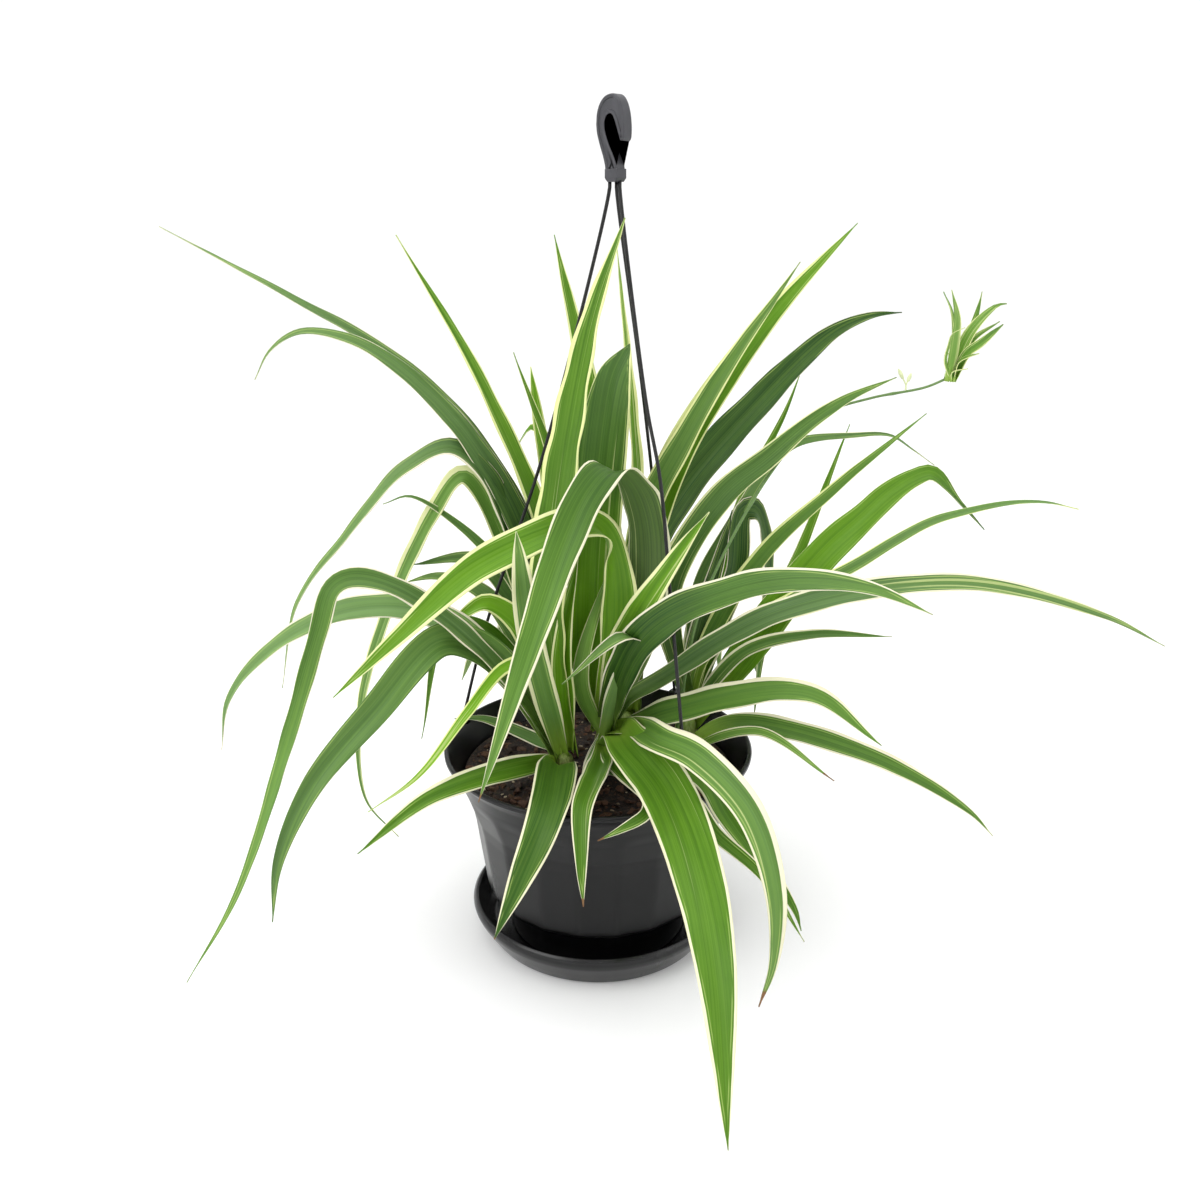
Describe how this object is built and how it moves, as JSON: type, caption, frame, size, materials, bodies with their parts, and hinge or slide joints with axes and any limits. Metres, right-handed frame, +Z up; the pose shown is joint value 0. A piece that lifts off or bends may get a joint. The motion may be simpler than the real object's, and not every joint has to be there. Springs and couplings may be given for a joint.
{
  "type": "potted_plant",
  "caption": "Spider plant with long striped leaves and a runner, in a black faceted hanging pot with a drip saucer and a three-strand hook hanger",
  "frame": {"origin": "middle of the underside of the drip saucer", "axes": "+Z up; the hook lies in the XZ plane with its mouth towards +X; the plant's front, from which the picture was taken, is halfway between +X and -Y"},
  "size_m": [0.5354, 0.4962, 0.5199],
  "materials": {
    "pot_plastic": "satin",
    "saucer_plastic": "gloss",
    "hanger_plastic": "satin",
    "potting_mix": "matt, damp, with bark and pale grains",
    "leaf_striped": "satin leaf, cream margins",
    "leaf_bright": "satin leaf, yellow-cream margins",
    "runner_green": "satin"
  },
  "bodies": {
    "root": {"drip_saucer": "saucer_plastic", "pot": "pot_plastic", "potting_mix": "potting_mix", "hanger_hook": "hanger_plastic", "hanger_strand_left": "hanger_plastic", "hanger_strand_front": "hanger_plastic", "hanger_strand_back": "hanger_plastic", "crown_front": "leaf_striped", "crown_left": "leaf_striped", "crown_right": "leaf_striped", "crown_edge": "leaf_striped", "crown_back": "leaf_bright", "crown_back_left": "leaf_bright", "runner": "runner_green"}
  },
  "joints": []
}
